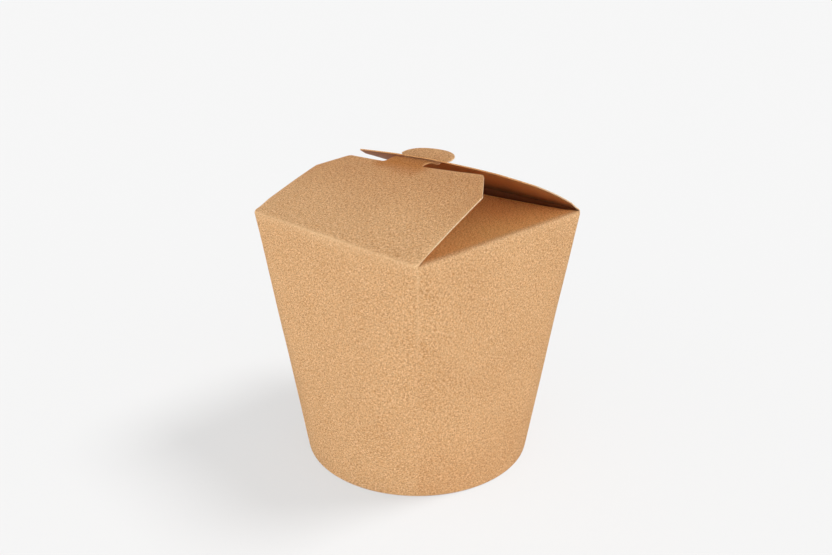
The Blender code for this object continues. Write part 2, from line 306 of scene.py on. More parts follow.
# %% Flap columns
TAB_X = -0.0053          # middle of the locking tab
SLOT_STRIP = 0.0038      # width of the strip between the slot and the free edge
SLOT_OPEN = 0.0021       # how far the slot gapes
SLOT_SHUT = 0.0003       # what stays open past its ends
SLOT_HALF = 0.0111       # half the slot's length


def slot_gape(x):
    """How far the slot's two edges are apart at x, as seen from behind."""
    off = min(abs(x + TAB_X) / SLOT_HALF, 1)
    return SLOT_SHUT + (SLOT_OPEN - SLOT_SHUT) * (1 - off ** 8) ** 0.25


def inward(out):
    """The level direction in which a flap leaves the rim: nearly square to its straight fold,
    even where the rim itself turns round a corner."""
    return (Vector((0, 1, 0)) - 0.1 * (out + Vector((0, 1, 0)))).normalized()


def roof_column(u, slope):
    """The roof flap's points from its fold to its free edge."""
    rim, out = rim_point(u)
    angle = slope(rim.x, 0)
    leave_way = inward(out) * math.cos(angle) + Vector((0, 0, math.sin(angle)))
    points = fold_points(u, False, leave_way)
    start = points[-1]
    join_reach = (rim.y + HALF) / math.cos(angle) + FOLD_BLEND
    join = roof_point(u, join_reach, slope)
    join_way = (roof_point(u, join_reach + BOARD, slope) - join).normalized()
    span = (join - start).length
    for t in steps(0, 1, BLEND_STEPS)[1:]:
        points.append(curve3(start, leave_way * span, join, join_way * span, t))
    end = roof_end(u)
    far = end - SLOT_STRIP
    near = far - slot_gape(u * SHOULDER_HALF)
    reaches = steps(join_reach, near, 12)[1:] + [far] + steps(far, end, 4)[1:]
    points += [roof_point(u, reach, slope) for reach in reaches]
    return [p + board_wave(p) for p in points]


def side_column(u):
    """The side flap's points from its fold to its free end."""
    rim, out = rim_point(u)
    leave_way = inward(out)
    points = fold_points(u, True, leave_way)
    start = points[-1]
    join_reach = rim.y + HALF + FOLD_BLEND
    join = side_point(u, join_reach)
    join_way = (side_point(u, join_reach + BOARD) - join).normalized()
    span = (join - start).length
    for t in steps(0, 1, BLEND_STEPS)[1:]:
        points.append(curve3(start, leave_way * span, join, join_way * span, t))
    points += [side_point(u, reach) for reach in steps(join_reach, SIDE_REACH, 12)[1:]]
    return [p + board_wave(p) for p in points]


def board_wave(place):
    """A slight waviness of the loose flaps."""
    rise = smooth((place.y + HALF) / 0.02)
    return Vector((0, 0, 0.00018 * rise * noise.noise(place * 55)))


GAP_ROW = FOLD_STEPS + BLEND_STEPS + 12   # rows above the wall before the slot's gap
print("the slot lies after flap row", GAP_ROW)

# %% [markdown]
# ## The locking tab
# The tab is a narrow neck with a mushroom head. It leaves the front flap along its slope, levels
# out and dips under the back flap's edge, and turns up steeply through the slot. The head lies
# flatter. Its path is a list of slopes along its length, which is how a strip of board bends: the
# length stays, only the angle changes. The turn has to come just before the slot and be steep
# there, or the tab would cut into the board on the slot's far side.

# %% The tab
NECK_HALF = 0.0099       # half the width of the neck
NECK_FILLET = 0.0022     # rounding where the neck leaves the flap
HEAD_HALF = 0.0139       # half the width of the head
HEAD_START = 0.0124      # distance along the tab where the head widens
HEAD_WIDEST = 0.0141     # distance at which it is widest
HEAD_TWIST = 0.0003      # how far the head's right end stands up, and its left end hangs
HEAD_EASE = 0.003        # length over which that twist comes in
TAB_REACH = 0.0199       # length of the whole tab
HEAD_POWER = 2.3         # 2 would give an ellipse, more a squarer head
TAB_COLUMNS = 16
# pairs of a distance along the tab and its slope there in degrees
TAB_BENDS = ((0.0, 19.0), (0.0052, 3.0), (0.0076, -24.0), (0.0090, -24.0), (0.0110, 25.0),
             (0.0132, 25.0), (0.0150, 18.0), (TAB_REACH, 18.0))


def tab_slope(distance):
    """Slope of the tab, in radians, at a distance along it."""
    for (d0, a0), (d1, a1) in zip(TAB_BENDS, TAB_BENDS[1:]):
        if distance <= d1:
            return math.radians(a0 + (a1 - a0) * smooth((distance - d0) / (d1 - d0)))
    return math.radians(TAB_BENDS[-1][1])


def tab_half(distance):
    """Half the tab's width at a distance along it."""
    if distance < NECK_FILLET:
        left = 1 - distance / NECK_FILLET
        return NECK_HALF + NECK_FILLET * (1 - math.sqrt(1 - left ** 2))
    if distance < HEAD_START:
        return NECK_HALF
    if distance < HEAD_WIDEST:
        part = (distance - HEAD_START) / (HEAD_WIDEST - HEAD_START)
        return NECK_HALF + (HEAD_HALF - NECK_HALF) * math.sqrt(1 - (1 - part) ** 2)
    part = min((distance - HEAD_WIDEST) / (TAB_REACH - HEAD_WIDEST), 1)
    return HEAD_HALF * (1 - part ** HEAD_POWER) ** (1 / HEAD_POWER)


def tab_distances():
    """Row places along the tab, close together where its outline turns fast."""
    rows = [NECK_FILLET * (1 - math.cos(a)) for a in steps(0, RIGHT_ANGLE, 5)][1:]
    rows += steps(NECK_FILLET, HEAD_START, 18)[1:]
    turn = HEAD_WIDEST - HEAD_START
    rows += [HEAD_START + turn * (1 - math.cos(a)) for a in steps(0, RIGHT_ANGLE, 6)][1:]
    dome = TAB_REACH - HEAD_WIDEST
    rows += [HEAD_WIDEST + dome * math.sin(a) for a in steps(0, math.radians(86), 12)][1:]
    return rows


def tab_rows():
    """Rows of points of the tab, in the front side's frame."""
    root = roof_point(TAB_X / SHOULDER_HALF, FLAP_REACH, front_slope)
    slot_height = roof_point(-TAB_X / SHOULDER_HALF, FLAP_REACH - SLOT_STRIP, back_slope).z
    place, done = Vector((0, root.y, root.z)), 0.0
    rows = []
    for distance in tab_distances():
        pieces = max(round((distance - done) / (BOARD / 5)), 1)
        for middle in steps(done, distance, 2 * pieces)[1::2]:
            angle = tab_slope(middle)
            step = (distance - done) / pieces
            place = place + Vector((0, math.cos(angle), math.sin(angle))) * step
        done = distance
        rooted = max(1 - distance / SLOT_HALF, 0) ** 2
        row = []
        for column in range(TAB_COLUMNS + 1):
            x = TAB_X + (2 * column / TAB_COLUMNS - 1) * tab_half(distance)
            edge = roof_point(x / SHOULDER_HALF, FLAP_REACH, front_slope)
            edge = edge + board_wave(edge)
            tilt = roof_point(-x / SHOULDER_HALF, FLAP_REACH - SLOT_STRIP, back_slope).z
            shift = (edge - root) * rooted
            lift = (tilt - slot_height) * (1 - rooted)
            aside = (x - TAB_X) / HEAD_HALF
            lift += HEAD_TWIST * (aside - 0.2) * smooth((distance - HEAD_START) / HEAD_EASE)
            row.append(Vector((x, place.y + shift.y, place.z + shift.z + lift)))
        rows.append(row)
    return rows


print("tab rows:", len(tab_distances()), "head width", round(2 * HEAD_HALF * 1000, 1), "mm")

# %% [markdown]
# ## Columns of each side
# Columns crowd together where something happens: at the rounded corners, at the flap's cut
# corners, and under the tab or over the slot. Both roof flaps use one list and its mirror image.

# %% Column places
def roof_columns():
    """Column places of the front flap, and the number of the first one under the tab."""
    tip, rounding = TIP_HALF / SHOULDER_HALF, TIP_ROUND / SHOULDER_HALF
    tab_left = (TAB_X - NECK_HALF - NECK_FILLET) / SHOULDER_HALF
    tab_right = (TAB_X + NECK_HALF + NECK_FILLET) / SHOULDER_HALF
    corner = corner_columns()
    left = [-u for u in reversed(corner)] + steps(-tip - rounding, -tip + rounding, 4)
    middle = steps(-tip + rounding, tab_left, 7)[1:-1]
    tab = steps(tab_left, tab_right, TAB_COLUMNS)
    right = steps(tab_right, tip - rounding, 9)[1:-1] + steps(tip - rounding, tip + rounding, 4)
    return left + middle + tab + right + corner, len(left) + len(middle)


def corner_columns():
    """Places from the start of the rounded corner to its middle, at equal turns."""
    turns = steps(0, RIGHT_ANGLE / 2, 12)
    return [(STRAIGHT_HALF + CORNER_R * math.sin(t)) / FOLD_HALF for t in turns]


def side_columns():
    corner = corner_columns()
    return [-u for u in reversed(corner)] + steps(-corner[0], corner[0], 22)[1:-1] + corner


FRONT_COLUMNS, TAB_FIRST = roof_columns()
BACK_COLUMNS = [-u for u in reversed(FRONT_COLUMNS)]
SIDE_COLUMNS = side_columns()
print("columns:", len(FRONT_COLUMNS), "on a roof side,", len(SIDE_COLUMNS), "on a side flap's")

# %% [markdown]
# ## The glued seam
# The sheet is wrapped into a tube and glued along one corner, where one end laps over the other.
# The end on top stops a little past the back left corner, and leaves a straight cut edge from rim
# to base. Under it the wall sits one board deeper and comes out again further along. The real
# overlap is modelled because a painted line would cast no shadow.

# %% Seam
SEAM_TURN = math.radians(38)    # the cut edge lies this far round from the left side's middle
SEAM_RELAX = 0.030              # distance over which the wall below comes back out
SEAM_U = -(STRAIGHT_HALF + CORNER_R * math.sin(SEAM_TURN)) / FOLD_HALF


def sink_under_seam(columns, grid):
    """Moves the left side's wall in by one board at the seam, and less with distance."""
    seam = min(range(len(columns)), key=lambda i: abs(columns[i] - SEAM_U))
    for i, column in enumerate(grid):
        for row, place in enumerate(column):
            away = (place - grid[seam][row]).length if i > seam else 0
            over_fold = smooth((row - WALL_ROWS + 1) / FOLD_STEPS)
            depth = 1.08 * BOARD * (1 - smooth(away / SEAM_RELAX)) * (1 - over_fold)
            face = Vector((place.x, place.y, 0)).normalized()
            column[row] = place - face * depth
    return seam


print("seam column at", round(SEAM_U, 3))

# %% [markdown]
# ## Build the sheet
# Each side is a grid of its columns, turned into place. Neighbouring sides share the points of
# the wall at their corner, and their flaps part above it. The map holds each point's place on the
# flat sheet in metres, so that fibres keep one size everywhere.
#
# Masks are stored with the points for the materials. Two belong to the board itself, though the
# first also carries a painted highlight: where it is folded (`fold`), and how near a point is to a
# cut edge (`cut_edge`). The other four are painted light and shade, not dyed into real board:
# painted shade that darkens the front flap towards its tab, and the wall near the floor; painted
# bounce light that warms the side flaps, lit by light that bounces between the flaps; painted shade
# that keeps the gap behind them and under the back flap dark; and painted shade on the tab's cut
# edges.

# %% Sheet builder
class Sheet:
    """Collects the faces of the sheet with their map, and builds the mesh."""

    def __init__(self):
        self.mesh = bmesh.new()
        self.fold = self.mesh.verts.layers.float.new("fold")
        self.edge = self.mesh.verts.layers.float.new("cut_edge")
        self.painted_shade = self.mesh.verts.layers.float.new("painted_shade")
        self.painted_inside_shade = self.mesh.verts.layers.float.new("painted_inside_shade")
        self.painted_bounce_light = self.mesh.verts.layers.float.new("painted_bounce_light")
        self.tan = self.mesh.verts.layers.float.new("tan")
        self.map = self.mesh.loops.layers.uv.new("board")

    def grid(self, columns, flat, turn, keep=None):
        """Adds a grid of points. flat gives each point's place on the flat sheet."""
        rotate = Matrix.Rotation(turn, 3, "Z")
        verts = [[self.mesh.verts.new(rotate @ p) for p in column] for column in columns]
        for i in range(len(verts) - 1):
            for j in range(len(verts[i]) - 1):
                if keep and not keep(i, j):
                    continue
                face = self.mesh.faces.new((verts[i][j], verts[i + 1][j],
                                            verts[i + 1][j + 1], verts[i][j + 1]))
                corners = ((i, j), (i + 1, j), (i + 1, j + 1), (i, j + 1))
                for loop, (a, b) in zip(face.loops, corners):
                    loop[self.map].uv = flat[a][b]
        return verts


def flat_places(grid, middle, number):
    """Each point's place on the flat sheet: the distance from the side's middle column along
    its row, and up that column. number keeps the sides apart on the map."""
    rows = min(len(column) for column in grid)
    heights = [0.0]
    for j in range(1, rows):
        heights.append(heights[-1] + (grid[middle][j] - grid[middle][j - 1]).length)
    flat = [[None] * rows for _ in grid]
    for j in range(rows):
        flat[middle][j] = (0.25 * number, heights[j])
        for way in (1, -1):
            run, i = 0.25 * number, middle
            while 0 <= i + way < len(grid):
                run += way * (grid[i + way][j] - grid[i][j]).length
                i += way
                flat[i][j] = (run, heights[j])
    return flat


RUB_WIDTH = 0.0009       # how far a cut edge looks rubbed
CORNER_WIDTH = 0.0005    # width of the pale line down each corner of the wall, partly a painted highlight
CORNER_FADE = 0.062      # depth below the rim at which that line is gone
FOLD_WIDTH = 0.0006      # width of a roof flap's pale fold line, partly a painted highlight
SOFT_WIDTH = 0.0012      # the same for a side flap
INSIDE_SHADE_FADE = 0.003      # distance past the fold where the painted shade on the inner face ends
UNDER_FLAP_SHADE_FADE = 0.014       # the same for the soft painted shade under the back flap
BOUNCE_LIGHT_RISE = 0.004        # distance past its fold where a side flap's painted bounce light is full
FOOT_PAINTED_SHADE, FOOT_FADE = 0.16, 0.028    # strength and height of the painted shade near the floor
FLAP_PAINTED_SHADE = 0.42         # strength of the front flap's painted shade, at its free edge
TAB_FADE, TAB_BESIDE = 0.009, 0.008   # how far that painted shade spreads from the tab, down and to each side


def mark(sheet, verts, flat, side_flap=False, tab_near=False, on_top=False):
    """Stores the masks of one side. tab_near is for the front flap, on_top for the back one."""
    rim_row = WALL_ROWS - 1 + FOLD_STEPS // 2
    last = len(verts) - 1
    for i, column in enumerate(verts):
        for j, vert in enumerate(column):
            up = flat[i][j][1] - flat[i][rim_row][1]
            width = SOFT_WIDTH if side_flap else FOLD_WIDTH
            # The crease line is partly a painted highlight.
            crease = math.exp(-(up / width) ** 2) * (0.25 if side_flap else 0.9)
            from_corner = min(abs(flat[i][j][0] - flat[0][j][0]),
                              abs(flat[i][j][0] - flat[last][j][0]))
            drop = RIM_Z - vert.co.z
            corner = math.exp(-(from_corner / CORNER_WIDTH) ** 2) * (1 - smooth(drop / CORNER_FADE))
            vert[sheet.fold] = max(crease, 0.75 * corner if j < WALL_ROWS else 0)
            # Painted shade on the inner face of the wall and the fold.
            vert[sheet.painted_inside_shade] = smooth(1 - up / INSIDE_SHADE_FADE)
            # Painted shade near the floor.
            vert[sheet.painted_shade] = FOOT_PAINTED_SHADE * math.exp(-(vert.co.z / FOOT_FADE) ** 2)
            if side_flap:
                # Painted bounce light, warming the side flaps.
                vert[sheet.painted_bounce_light] = smooth(up / BOUNCE_LIGHT_RISE)
            elif tab_near:
                # Painted shade over the front flap, strongest by the tab and towards its free edge.
                to_edge = flat[i][-1][1] - flat[i][j][1]
                beside = max(abs(vert.co.x - TAB_X) - NECK_HALF, 0)
                near_tab = math.exp(-(to_edge / TAB_FADE) ** 1.5 - (beside / TAB_BESIDE) ** 2)
                vert[sheet.painted_shade] = max(near_tab, FLAP_PAINTED_SHADE * smooth(up / FLAP_REACH) ** 1.4)
            if j > rim_row:
                to_end = abs(flat[i][-1][1] - flat[i][j][1])
                near = min(to_end, from_corner)
                vert[sheet.edge] = math.exp(-near / RUB_WIDTH) * (0.4 if on_top else 1)
                if on_top:
                    # Painted shade along the back flap's free cut edge.
                    vert[sheet.tan] = math.exp(-to_end / RUB_WIDTH)
                    # Painted shade under the back flap.
                    under = 0.5 * math.exp(-(up / UNDER_FLAP_SHADE_FADE) ** 2)
                    vert[sheet.painted_inside_shade] = max(vert[sheet.painted_inside_shade], under)


# %% [markdown]
# Now the four sides are laid down. The hem's faces are left out under the seam, where the board
# on top has its own, and the slot is left open in the back flap.

# %% Lay down the sides
def wall_column(u, side_flap):
    return hem_points(u) + wall_points(u, side_flap)


sheet = Sheet()

for number, slope, columns in ((0, front_slope, FRONT_COLUMNS), (2, back_slope, BACK_COLUMNS)):
    grid = [wall_column(u, False) + roof_column(u, slope) for u in columns]
    middle = min(range(len(columns)), key=lambda i: abs(columns[i]))
    flat = flat_places(grid, middle, number)
    slot = {i for i, u in enumerate(columns[:-1])
            if abs((u + columns[i + 1]) / 2 * SHOULDER_HALF + TAB_X) < SLOT_HALF}
    gap = WALL_ROWS - 1 + GAP_ROW
    is_back = number == 2
    verts = sheet.grid(grid, flat, number * RIGHT_ANGLE,
                       lambda i, j: not (is_back and j == gap and i in slot))
    mark(sheet, verts, flat, tab_near=number == 0, on_top=is_back)
    if number == 0:
        front_top = [verts[TAB_FIRST + i][-1] for i in range(TAB_COLUMNS + 1)]
        front_flat = [flat[TAB_FIRST + i][-1] for i in range(TAB_COLUMNS + 1)]
    print("side", number, "has", len(columns), "columns of", len(grid[0]), "points")

for number in (1, 3):
    grid = [wall_column(u, True) + side_column(u) for u in SIDE_COLUMNS]
    flat = flat_places(grid, len(SIDE_COLUMNS) // 2, number)
    seam = 0
    if number == 3:
        strip = [[p.copy() for p in column[:WALL_ROWS]] for column in grid]
        seam = sink_under_seam(SIDE_COLUMNS, grid)
        strip = strip[:seam + 1]
        strip_flat = [column[:WALL_ROWS] for column in flat[:seam + 1]]
        lap = sheet.grid(strip, strip_flat, number * RIGHT_ANGLE)
        for column, places in zip(lap, strip_flat):
            for vert, place, last in zip(column, places, strip_flat[-1]):
                vert[sheet.edge] = math.exp(-abs(place[0] - last[0]) / RUB_WIDTH)
    verts = sheet.grid(grid, flat, number * RIGHT_ANGLE,
                       lambda i, j: i >= seam or j >= HEM_ROWS)
    mark(sheet, verts, flat, side_flap=True)
    print("side", number, "has", len(SIDE_COLUMNS), "columns of", len(grid[0]), "points")

# %% [markdown]
# The tab grows out of the front flap's free edge, from the points that are already there. Its
# neck gets painted shade as strong as the flap round it, and its head, out in the light, much less.

# %% Lay down the tab
NECK_SHADED = 0.009      # distance along the tab up to which its painted shade is full
SHADE_FADE = 0.003       # length over which that painted shade then fades
MERGE = 2e-6             # points closer than this are one point
below, below_flat = front_top, front_flat
for points, distance in zip(tab_rows(), tab_distances()):
    above = [sheet.mesh.verts.new(p) for p in points]
    height = front_flat[0][1] + distance
    above_flat = [(p.x, height) for p in points]
    for i in range(TAB_COLUMNS):
        face = sheet.mesh.faces.new((below[i], below[i + 1], above[i + 1], above[i]))
        places = (below_flat[i], below_flat[i + 1], above_flat[i + 1], above_flat[i])
        for loop, place in zip(face.loops, places):
            loop[sheet.map].uv = place
    half = tab_half(distance)
    for vert in above:
        inside = min(half - abs(vert.co.x - TAB_X), TAB_REACH - distance)
        past = smooth((distance - NECK_SHADED) / SHADE_FADE)
        vert[sheet.edge] = math.exp(-max(inside, 0) / RUB_WIDTH)
        # Painted shade on the neck's cut edges, gone past the neck.
        vert[sheet.tan] = 1 - past
        # Painted shade on the neck, much less on the head.
        vert[sheet.painted_shade] = 1 - 0.7 * past
    below, below_flat = above, above_flat
for vert in front_top:
    vert[sheet.edge] = 0.15

loose = [v for v in sheet.mesh.verts if not v.link_faces]
bmesh.ops.delete(sheet.mesh, geom=loose, context="VERTS")
bmesh.ops.remove_doubles(sheet.mesh, verts=sheet.mesh.verts, dist=MERGE)
board_mesh = bpy.data.meshes.new("carton_board")
sheet.mesh.to_mesh(board_mesh)
print("sheet:", len(board_mesh.vertices), "points,", len(board_mesh.polygons), "faces")
sheet.mesh.free()

# %% [markdown]
# ## Thickness
# Solidify turns the sheet into board. It grows inwards, so the outside stays where it was, and it
# can give the inner face and the cut edge their own material slots. It is applied at once, so
# that the cut edges can be marked sharp while the folds stay smooth.

# %% Give the sheet its thickness
def show(name, mesh, materials):
    """Adds a piece to the scene with its materials."""
    piece = bpy.data.objects.new(name, mesh)
    bpy.context.scene.collection.objects.link(piece)
    for material in materials:
        piece.data.materials.append(material)
    return piece


def thicken(piece):
    """Makes board of a piece's sheet and puts the result in place of its mesh."""
    board = piece.modifiers.new("board", "SOLIDIFY")
    board.thickness = BOARD
    board.offset = -1
    board.use_even_offset = True
    board.material_offset = 1
    board.material_offset_rim = 2
    bpy.context.view_layer.update()
    shaped = bpy.data.meshes.new_from_object(
        piece.evaluated_get(bpy.context.evaluated_depsgraph_get()))
    piece.modifiers.clear()
    piece.data = shaped
    shaped.polygons.foreach_set("use_smooth", [True] * len(shaped.polygons))
    shaped.set_sharp_from_angle(angle=math.radians(50))


kraft_outside = bpy.data.materials.new("kraft_outside")
kraft_inside = bpy.data.materials.new("kraft_inside_coated")
kraft_cut = bpy.data.materials.new("kraft_cut_edge")

carton_board = show("carton_board", board_mesh, (kraft_outside, kraft_inside, kraft_cut))
thicken(carton_board)
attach(carton_board, "root")
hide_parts("carton")
print("board piece:", len(carton_board.data.polygons), "faces")

# %% [markdown]
# ## The base
# The bottom of a paper tub is a disc with its rim turned down. The skirt is glued into the hem
# of the wall, so the disc sits a few millimetres up and the tub stands on the hem. It is turned
# like a pot: one profile spun round the axis, with a shallow pressed ring that stiffens it.

# %% Turn the base disc
DISC_R = BASE_R - HEM - 0.0003    # leaves a thin gap to the hem
DISC_TOP = 0.0045        # height of the disc's upper face
DISC_SKIRT = 0.0036      # depth of its turned-down rim
DISC_ROUND = 0.0012      # rounding between the face and the rim
DISC_SEGMENTS = 144
RING_R, RING_WIDTH, RING_DEPTH = 0.036, 0.0011, 0.00035    # the pressed ring


def disc_profile():
    """The upper face of the disc from the axis out, and down the outside of its skirt."""
    points = []
    for radius in steps(0, DISC_R - DISC_ROUND, 40):
        ring = math.exp(-((radius - RING_R) / RING_WIDTH) ** 2)
        points.append((radius, DISC_TOP - RING_DEPTH * ring))
    for turn in steps(0, RIGHT_ANGLE, 6)[1:]:
        points.append((DISC_R - DISC_ROUND * (1 - math.sin(turn)),
                       DISC_TOP - DISC_ROUND * (1 - math.cos(turn))))
    skirt = steps(DISC_TOP - DISC_ROUND, DISC_TOP - DISC_SKIRT, 3)[1:]
    return points + [(DISC_R, z) for z in skirt]


def turned(name, profile):
    """Spins a profile round the Z axis, starting from a point on it."""
    mesh = bmesh.new()
    layer = mesh.verts.layers.float.new("cut_edge")
    mesh.verts.layers.float.new("fold")
    places = mesh.loops.layers.uv.new("board")
    axis = mesh.verts.new((0, 0, profile[0][1]))
    turns = [Matrix.Rotation(2 * math.pi * i / DISC_SEGMENTS, 3, "Z")
             for i in range(DISC_SEGMENTS)]
    rings = [[mesh.verts.new(t @ Vector((r, 0, z))) for t in turns] for r, z in profile[1:]]
    for vert in rings[-1]:
        vert[layer] = 1
    for i in range(DISC_SEGMENTS):
        k = (i + 1) % DISC_SEGMENTS
        mesh.faces.new((axis, rings[0][i], rings[0][k]))
        for inner, outer in zip(rings, rings[1:]):
            mesh.faces.new((inner[i], outer[i], outer[k], inner[k]))
    for face in mesh.faces:
        for loop in face.loops:
            loop[places].uv = loop.vert.co.xy
    data = bpy.data.meshes.new(name)
    mesh.to_mesh(data)
    mesh.free()
    return data


base_board = bpy.data.materials.new("base_board_kraft")
base_disc_board = show("base_disc_board", turned("base_disc_board", disc_profile()),
                       (kraft_inside, base_board, kraft_cut))
thicken(base_disc_board)
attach(base_disc_board, "root")
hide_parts("base_disc")
print("disc piece:", len(base_disc_board.data.polygons), "faces")

# %% [markdown]
# ## What kraft board looks like
# Kraft is unbleached pulp. Its colour is an even warm tan, broken up on three scales: short
# fibres a millimetre or two long that lie every way, fine specks between them, and faint clouds
# a centimetre wide where the pulp was thicker. A picture of board would repeat and blur up close.
# Noise that is stretched along a few directions gives fibres of the right length everywhere.
#
# Both are node groups, because the outside, the inside and the base use them all.

# %% Node helpers
def new_group(name, inputs, outputs):
    """A shader node group with named sockets. A number as an input is its default."""
    tree = bpy.data.node_groups.new(name, "ShaderNodeTree")
    for label, value in inputs:
        kind = "NodeSocketVector" if value is None else "NodeSocketFloat"
        socket = tree.interface.new_socket(label, in_out="INPUT", socket_type=kind)
        if value is not None:
            socket.default_value = value
    for label in outputs:
        tree.interface.new_socket(label, in_out="OUTPUT", socket_type="NodeSocketFloat")
    return tree, tree.nodes.new("NodeGroupInput"), tree.nodes.new("NodeGroupOutput")


def feed(tree, socket, value):
    """Joins a socket to another one, or sets its number."""
    if isinstance(value, bpy.types.NodeSocket):
        tree.links.new(value, socket)
    else:
        socket.default_value = value


def calc(tree, operation, a, b=0.0, clamp=False):
    node = tree.nodes.new("ShaderNodeMath")
    node.operation = operation
    node.use_clamp = clamp
    feed(tree, node.inputs[0], a)
    feed(tree, node.inputs[1], b)
    return node.outputs[0]


def ramp(tree, value, low, high, to_low=0.0, to_high=1.0):
    """Maps low..high smoothly to to_low..to_high, and holds it outside."""
    node = tree.nodes.new("ShaderNodeMapRange")
    node.interpolation_type = "SMOOTHSTEP"
    feed(tree, node.inputs["Value"], value)
    node.inputs["From Min"].default_value = low
    node.inputs["From Max"].default_value = high
    node.inputs["To Min"].default_value = to_low
    node.inputs["To Max"].default_value = to_high
    return node.outputs["Result"]


def speckle(tree, place, scale, detail=2.0, rough=0.5, turn=0.0, stretch=1.0):
    """Noise with scale cells per metre, longer by stretch along the direction of turn."""
    mapping = tree.nodes.new("ShaderNodeMapping")
    mapping.vector_type = "TEXTURE"
    mapping.inputs["Rotation"].default_value = (0, 0, math.radians(turn))
    mapping.inputs["Scale"].default_value = (stretch / scale, 1 / scale, 1 / scale)
    tree.links.new(place, mapping.inputs["Vector"])
    node = tree.nodes.new("ShaderNodeTexNoise")
    node.inputs["Scale"].default_value = 1.0
    node.inputs["Detail"].default_value = detail
    node.inputs["Roughness"].default_value = rough
    tree.links.new(mapping.outputs["Vector"], node.inputs["Vector"])
    return node.outputs["Fac"]


def group_node(tree, group, place, **values):
    node = tree.nodes.new("ShaderNodeGroup")
    node.node_tree = group
    tree.links.new(place, node.inputs["Place"])
    for label, value in values.items():
        feed(tree, node.inputs[label], value)
    return node


# %% Fibres
FIBRE_TURNS = (14, 63, 108, 151)     # directions in which fibres lie, in degrees
FIBRE_SCALE = 4600                   # how many of the coarsest fit side by side in a metre
FIBRE_STEP = 460                     # each further direction is finer by this
FIBRE_STRETCH = 5.0                  # a fibre's length over its width
SPECK_SCALE = 5200


def fibre_group():
    """Pale and dark fibres, and the relief they give. Place is in metres."""
    tree, inputs, outputs = new_group(
        "board_fibres", (("Place", None), ("Amount", 1.0)), ("Pale", "Dark", "Relief"))
    place = inputs.outputs["Place"]
    pale, dark = None, None
    for number, turn in enumerate(FIBRE_TURNS):
        strands = speckle(tree, place, FIBRE_SCALE + FIBRE_STEP * number, 1.0, 0.3, turn,
                          FIBRE_STRETCH)
        high = ramp(tree, strands, 0.57, 0.67)
        low = ramp(tree, strands, 0.40, 0.30)
        pale = high if pale is None else calc(tree, "MAXIMUM", pale, high)
        dark = low if dark is None else calc(tree, "MAXIMUM", dark, low)
    specks = speckle(tree, place, SPECK_SCALE, 2.0, 0.6)
    pale = calc(tree, "ADD", pale, ramp(tree, specks, 0.56, 0.80, 0.0, 0.3))
    dark = calc(tree, "ADD", dark, ramp(tree, specks, 0.44, 0.22, 0.0, 0.5))
    relief = calc(tree, "ADD", calc(tree, "SUBTRACT", pale, dark), specks)
    amount = inputs.outputs["Amount"]
    for label, value in (("Pale", pale), ("Dark", dark), ("Relief", relief)):
        tree.links.new(calc(tree, "MULTIPLY", value, amount), outputs.inputs[label])
    return tree


board_fibres = fibre_group()
print("fibres lie along", len(FIBRE_TURNS), "directions")


# %% Clouds of the pulp
def cloud_group():
    """Slow changes of the board's tone, from 0 to 1 about 0.5."""
    tree, inputs, outputs = new_group("board_clouds", (("Place", None),), ("Tone", "Patch"))
    place = inputs.outputs["Place"]
    wide = speckle(tree, place, 45, 3.0, 0.55)
    fine = speckle(tree, place, 190, 4.0, 0.62)
    mixed = calc(tree, "ADD", calc(tree, "MULTIPLY", wide, 0.55),
                 calc(tree, "MULTIPLY", fine, 0.45))
    tree.links.new(ramp(tree, mixed, 0.32, 0.68), outputs.inputs["Tone"])
    tree.links.new(ramp(tree, wide, 0.30, 0.70), outputs.inputs["Patch"])
    return tree


board_clouds = cloud_group()
print("clouds:", [s.name for s in board_clouds.interface.items_tree])

# %% [markdown]
# ## The four surfaces
# All four start from the same recipe: a colour between two tones, set by the clouds, then paler and
# darker by the fibres. Where the sheet is folded it looks paler, partly from stretched pulp and
# partly from a painted highlight, and so does a thin line along each cut edge, where handling has
# rubbed it. The painted shade and painted bounce light stored with the sheet's points are laid over
# that. The inside has a thin food-safe coating, which hides most fibres and is glossier.

# %% Board recipe
def mix(tree, share, a, b, mode="MIX"):
    node = tree.nodes.new("ShaderNodeMix")
    node.data_type = "RGBA"
    node.blend_type = mode
    feed(tree, node.inputs["Factor"], share)
    for socket, value in zip((node.inputs[6], node.inputs[7]), (a, b)):
        feed(tree, socket, value if isinstance(value, bpy.types.NodeSocket) else (*value, 1))
    return node.outputs[2]


def stored(tree, name):
    node = tree.nodes.new("ShaderNodeAttribute")
    node.attribute_name = name
    return node.outputs["Fac"]


